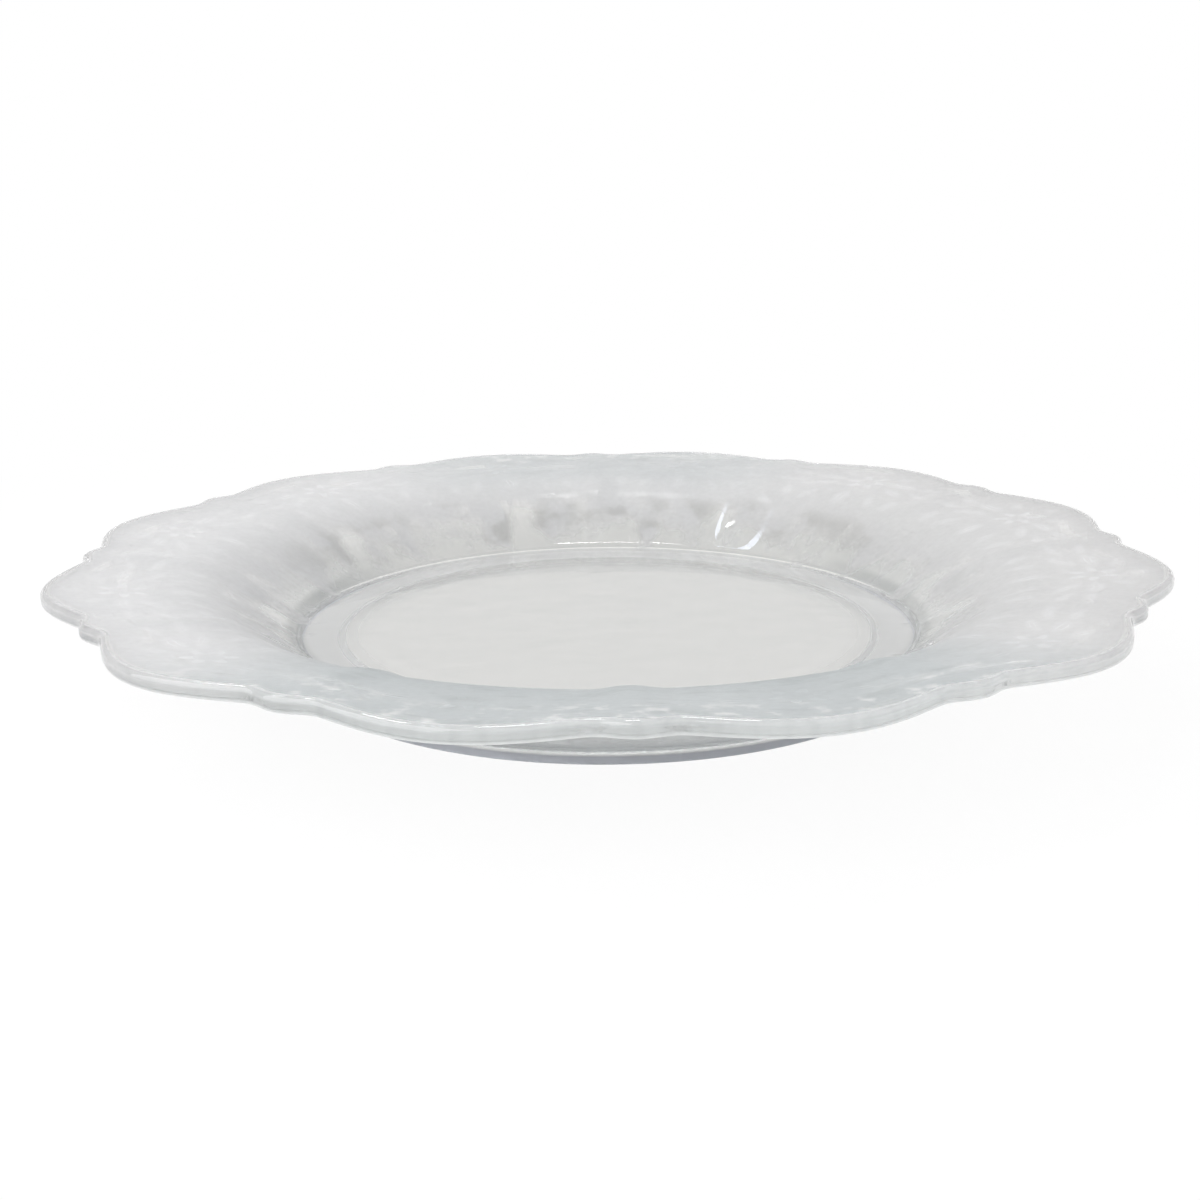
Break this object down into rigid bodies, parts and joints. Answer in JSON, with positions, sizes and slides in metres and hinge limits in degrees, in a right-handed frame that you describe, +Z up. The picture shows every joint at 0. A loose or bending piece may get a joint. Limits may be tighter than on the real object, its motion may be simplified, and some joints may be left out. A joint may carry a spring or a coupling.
{
  "type": "salad plate",
  "caption": "Round clear glass salad plate with a softly lobed and ribbed wide rim, sloping shoulder, flat well and ring foot, for serving a small course.",
  "frame": {"origin": "centre of the plate on the plane that its foot stands on", "axes": "+Z up along the plate's axis; -Y towards the viewer, with a nib of the rim on each of the X and Y axes"},
  "size_m": [0.1978, 0.1978, 0.0217],
  "materials": {
    "clear_glass": "fire-polished clear glass with a frosted leaf etching on the rim"
  },
  "bodies": {
    "root": {"glass_plate": "clear_glass"}
  },
  "joints": []
}
